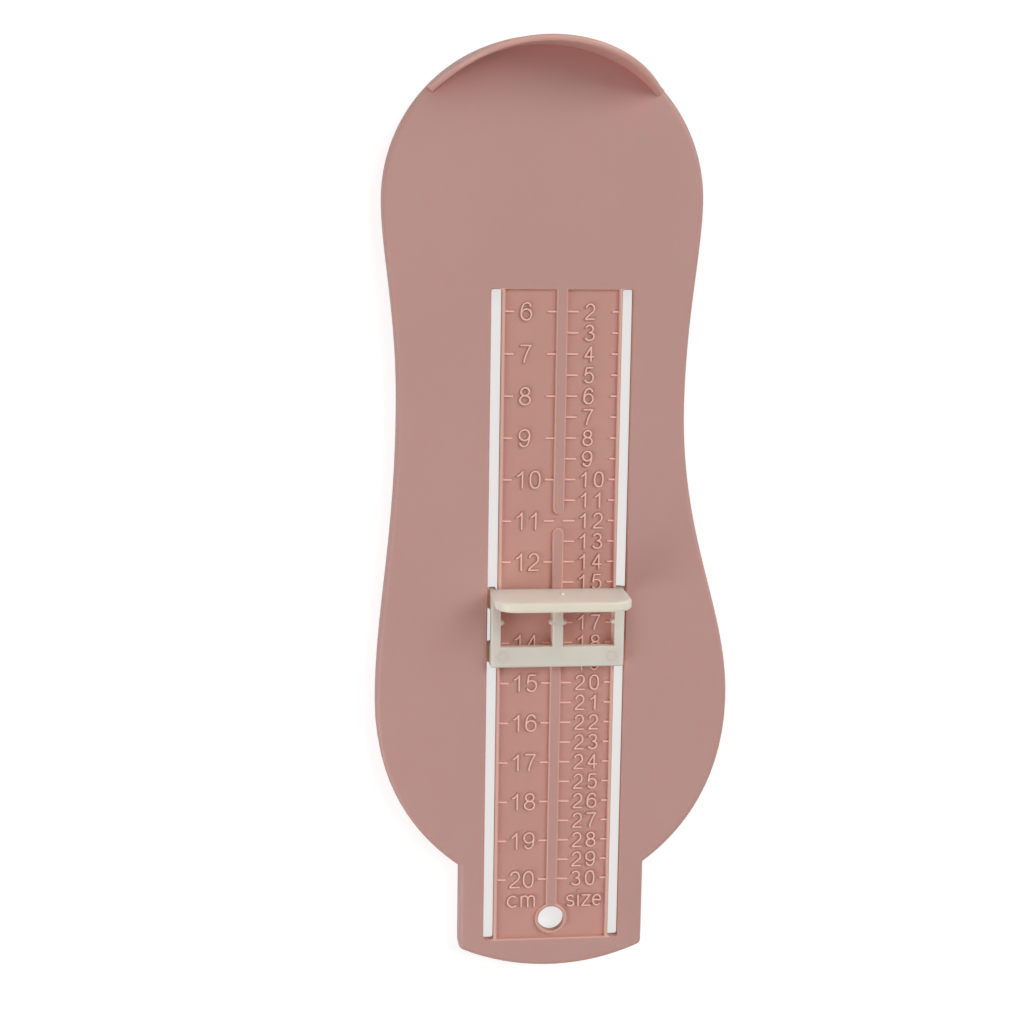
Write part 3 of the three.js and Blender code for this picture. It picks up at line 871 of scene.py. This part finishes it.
class FOOTGAUGE_OT_stage(bpy.types.Operator):
    """Set up the floor, the soft lamps and the camera"""

    bl_idname = "footgauge.stage"
    bl_label = "Stage"

    def execute(self, context):
        looks = context.scene.foot_gauge_stage
        self.floor(looks)
        self.lamps(context.scene, looks)
        self.camera(context.scene)
        context.scene.view_settings.view_transform = "Standard"
        return {"FINISHED"}

    def floor(self, looks):
        """A flat sheet under the device. To the camera it adds its own white to what lights it."""
        half, height = FLOOR_HALF_WIDTH, -FLOOR_DROP * MM
        mesh = bpy.data.meshes.new("floor")
        corners = [
            (-half, -half, height), (half, -half, height), (half, half, height),
            (-half, half, height),
        ]
        mesh.from_pydata(corners, [], [(0, 1, 2, 3)])
        material = empty_material("white_paper_floor")
        tree = material.node_tree
        path = add_node(tree, "ShaderNodeLightPath")
        seen = add_node(
            tree, "ShaderNodeMath", {"operation": "MAXIMUM"},
            {0: path.outputs["Is Camera Ray"], 1: path.outputs["Is Transmission Ray"]},
        )
        lit = add_node(
            tree, "ShaderNodeBsdfDiffuse", inputs={"Color": rgba((PAPER, PAPER, PAPER))},
        )
        shade = add_node(
            tree, "ShaderNodeBsdfDiffuse",
            inputs={"Color": rgba((PAPER_SEEN, PAPER_SEEN, PAPER_SEEN))},
        )
        white = add_node(
            tree, "ShaderNodeEmission",
            inputs={"Color": rgba(PAPER_WHITE), "Strength": looks.floor_glow},
        )
        shown = add_node(
            tree, "ShaderNodeAddShader", inputs={0: shade.outputs[0], 1: white.outputs[0]},
        )
        pick = add_node(
            tree, "ShaderNodeMixShader",
            inputs={0: seen.outputs[0], 1: lit.outputs[0], 2: shown.outputs[0]},
        )
        add_node(tree, "ShaderNodeOutputMaterial", inputs={"Surface": pick.outputs[0]})
        mesh.materials.append(material)
        sheet = bpy.data.objects.new("floor", mesh)
        bpy.context.scene.collection.objects.link(sheet)

    def lamps(self, scene, looks):
        """A large lamp at the right, one above the heel, a low one at the left, and even light."""
        for name, (place, width, power) in LAMPS.items():
            data = bpy.data.lights.new(name, "AREA")
            data.shape = "SQUARE"
            data.size = width
            data.energy = getattr(looks, power)
            lamp = bpy.data.objects.new(name, data)
            scene.collection.objects.link(lamp)
            away = np.array(place) / np.linalg.norm(place)
            right = np.cross((0, 1, 0), away)
            right /= np.linalg.norm(right)
            up = np.cross(away, right)
            turn = Matrix(np.stack([right, up, away], axis=1).tolist()).to_4x4()
            lamp.matrix_world = Matrix.Translation(place) @ turn
        world = bpy.data.worlds.new("even_surround")
        world.use_nodes = True
        tree = world.node_tree
        tree.nodes.clear()
        path = add_node(tree, "ShaderNodeLightPath")
        white = rgba((1, 1, 1))
        even = add_node(
            tree, "ShaderNodeBackground", inputs={"Color": white, "Strength": looks.surround},
        )
        seen = add_node(tree, "ShaderNodeBackground", inputs={"Color": white, "Strength": 1.0})
        pick = add_node(
            tree, "ShaderNodeMixShader",
            inputs={0: path.outputs["Is Camera Ray"], 1: even.outputs[0], 2: seen.outputs[0]},
        )
        add_node(tree, "ShaderNodeOutputWorld", inputs={"Surface": pick.outputs[0]})
        scene.world = world

    def camera(self, scene):
        """The camera at the photograph's place, turned by three directions in the frame."""
        data = bpy.data.cameras.new("camera")
        data.lens = CAMERA_LENS
        data.sensor_width = SENSOR_WIDTH
        data.clip_start = NEAREST * MM
        data.clip_end = FARTHEST * MM
        camera = bpy.data.objects.new("camera", data)
        scene.collection.objects.link(camera)
        axes = np.array([CAMERA_RIGHT, CAMERA_UP, CAMERA_BACK]).T
        place = [value * MM for value in CAMERA_PLACE]
        camera.matrix_world = Matrix.Translation(place) @ Matrix(axes.tolist()).to_4x4()
        scene.camera = camera


class FOOTGAUGE_PT_panel(bpy.types.Panel):
    """Lists the device's sizes and colours and the steps that build it"""

    bl_idname = "FOOTGAUGE_PT_panel"
    bl_label = "Foot Gauge"
    bl_space_type = "VIEW_3D"
    bl_region_type = "UI"
    bl_category = "Foot Gauge"

    def draw(self, context):
        for name, step, label in STEPS:
            box = self.layout.box()
            box.label(text=label)
            looks = getattr(context.scene, name)
            for key in looks.__annotations__:
                box.prop(looks, key)
            box.operator("footgauge." + step)


STEPS = (
    ("foot_gauge_board", "board", "Board"),
    ("foot_gauge_scales", "scales", "Scales"),
    ("foot_gauge_slider", "slider", "Slider"),
    ("foot_gauge_stage", "stage", "Stage"),
)
GROUPS = (BoardLooks, ScaleLooks, SliderLooks, StageLooks)
CLASSES = (
    *GROUPS,
    FOOTGAUGE_OT_board,
    FOOTGAUGE_OT_scales,
    FOOTGAUGE_OT_slider,
    FOOTGAUGE_OT_stage,
    FOOTGAUGE_PT_panel,
)


def register():
    """Makes the classes and the four groups of looks known to Blender."""
    for item in CLASSES:
        bpy.utils.register_class(item)
    for (name, _, _), group in zip(STEPS, GROUPS):
        setattr(bpy.types.Scene, name, PointerProperty(type=group))


def unregister():
    """Takes back what register did, in the opposite order."""
    for name, _, _ in STEPS:
        delattr(bpy.types.Scene, name)
    for item in reversed(CLASSES):
        bpy.utils.unregister_class(item)


def main():
    """Builds the device and its stage."""
    register()
    bpy.ops.footgauge.board()
    bpy.ops.footgauge.scales()
    bpy.ops.footgauge.slider()
    bpy.ops.footgauge.stage()


if __name__ == "__main__":
    main()
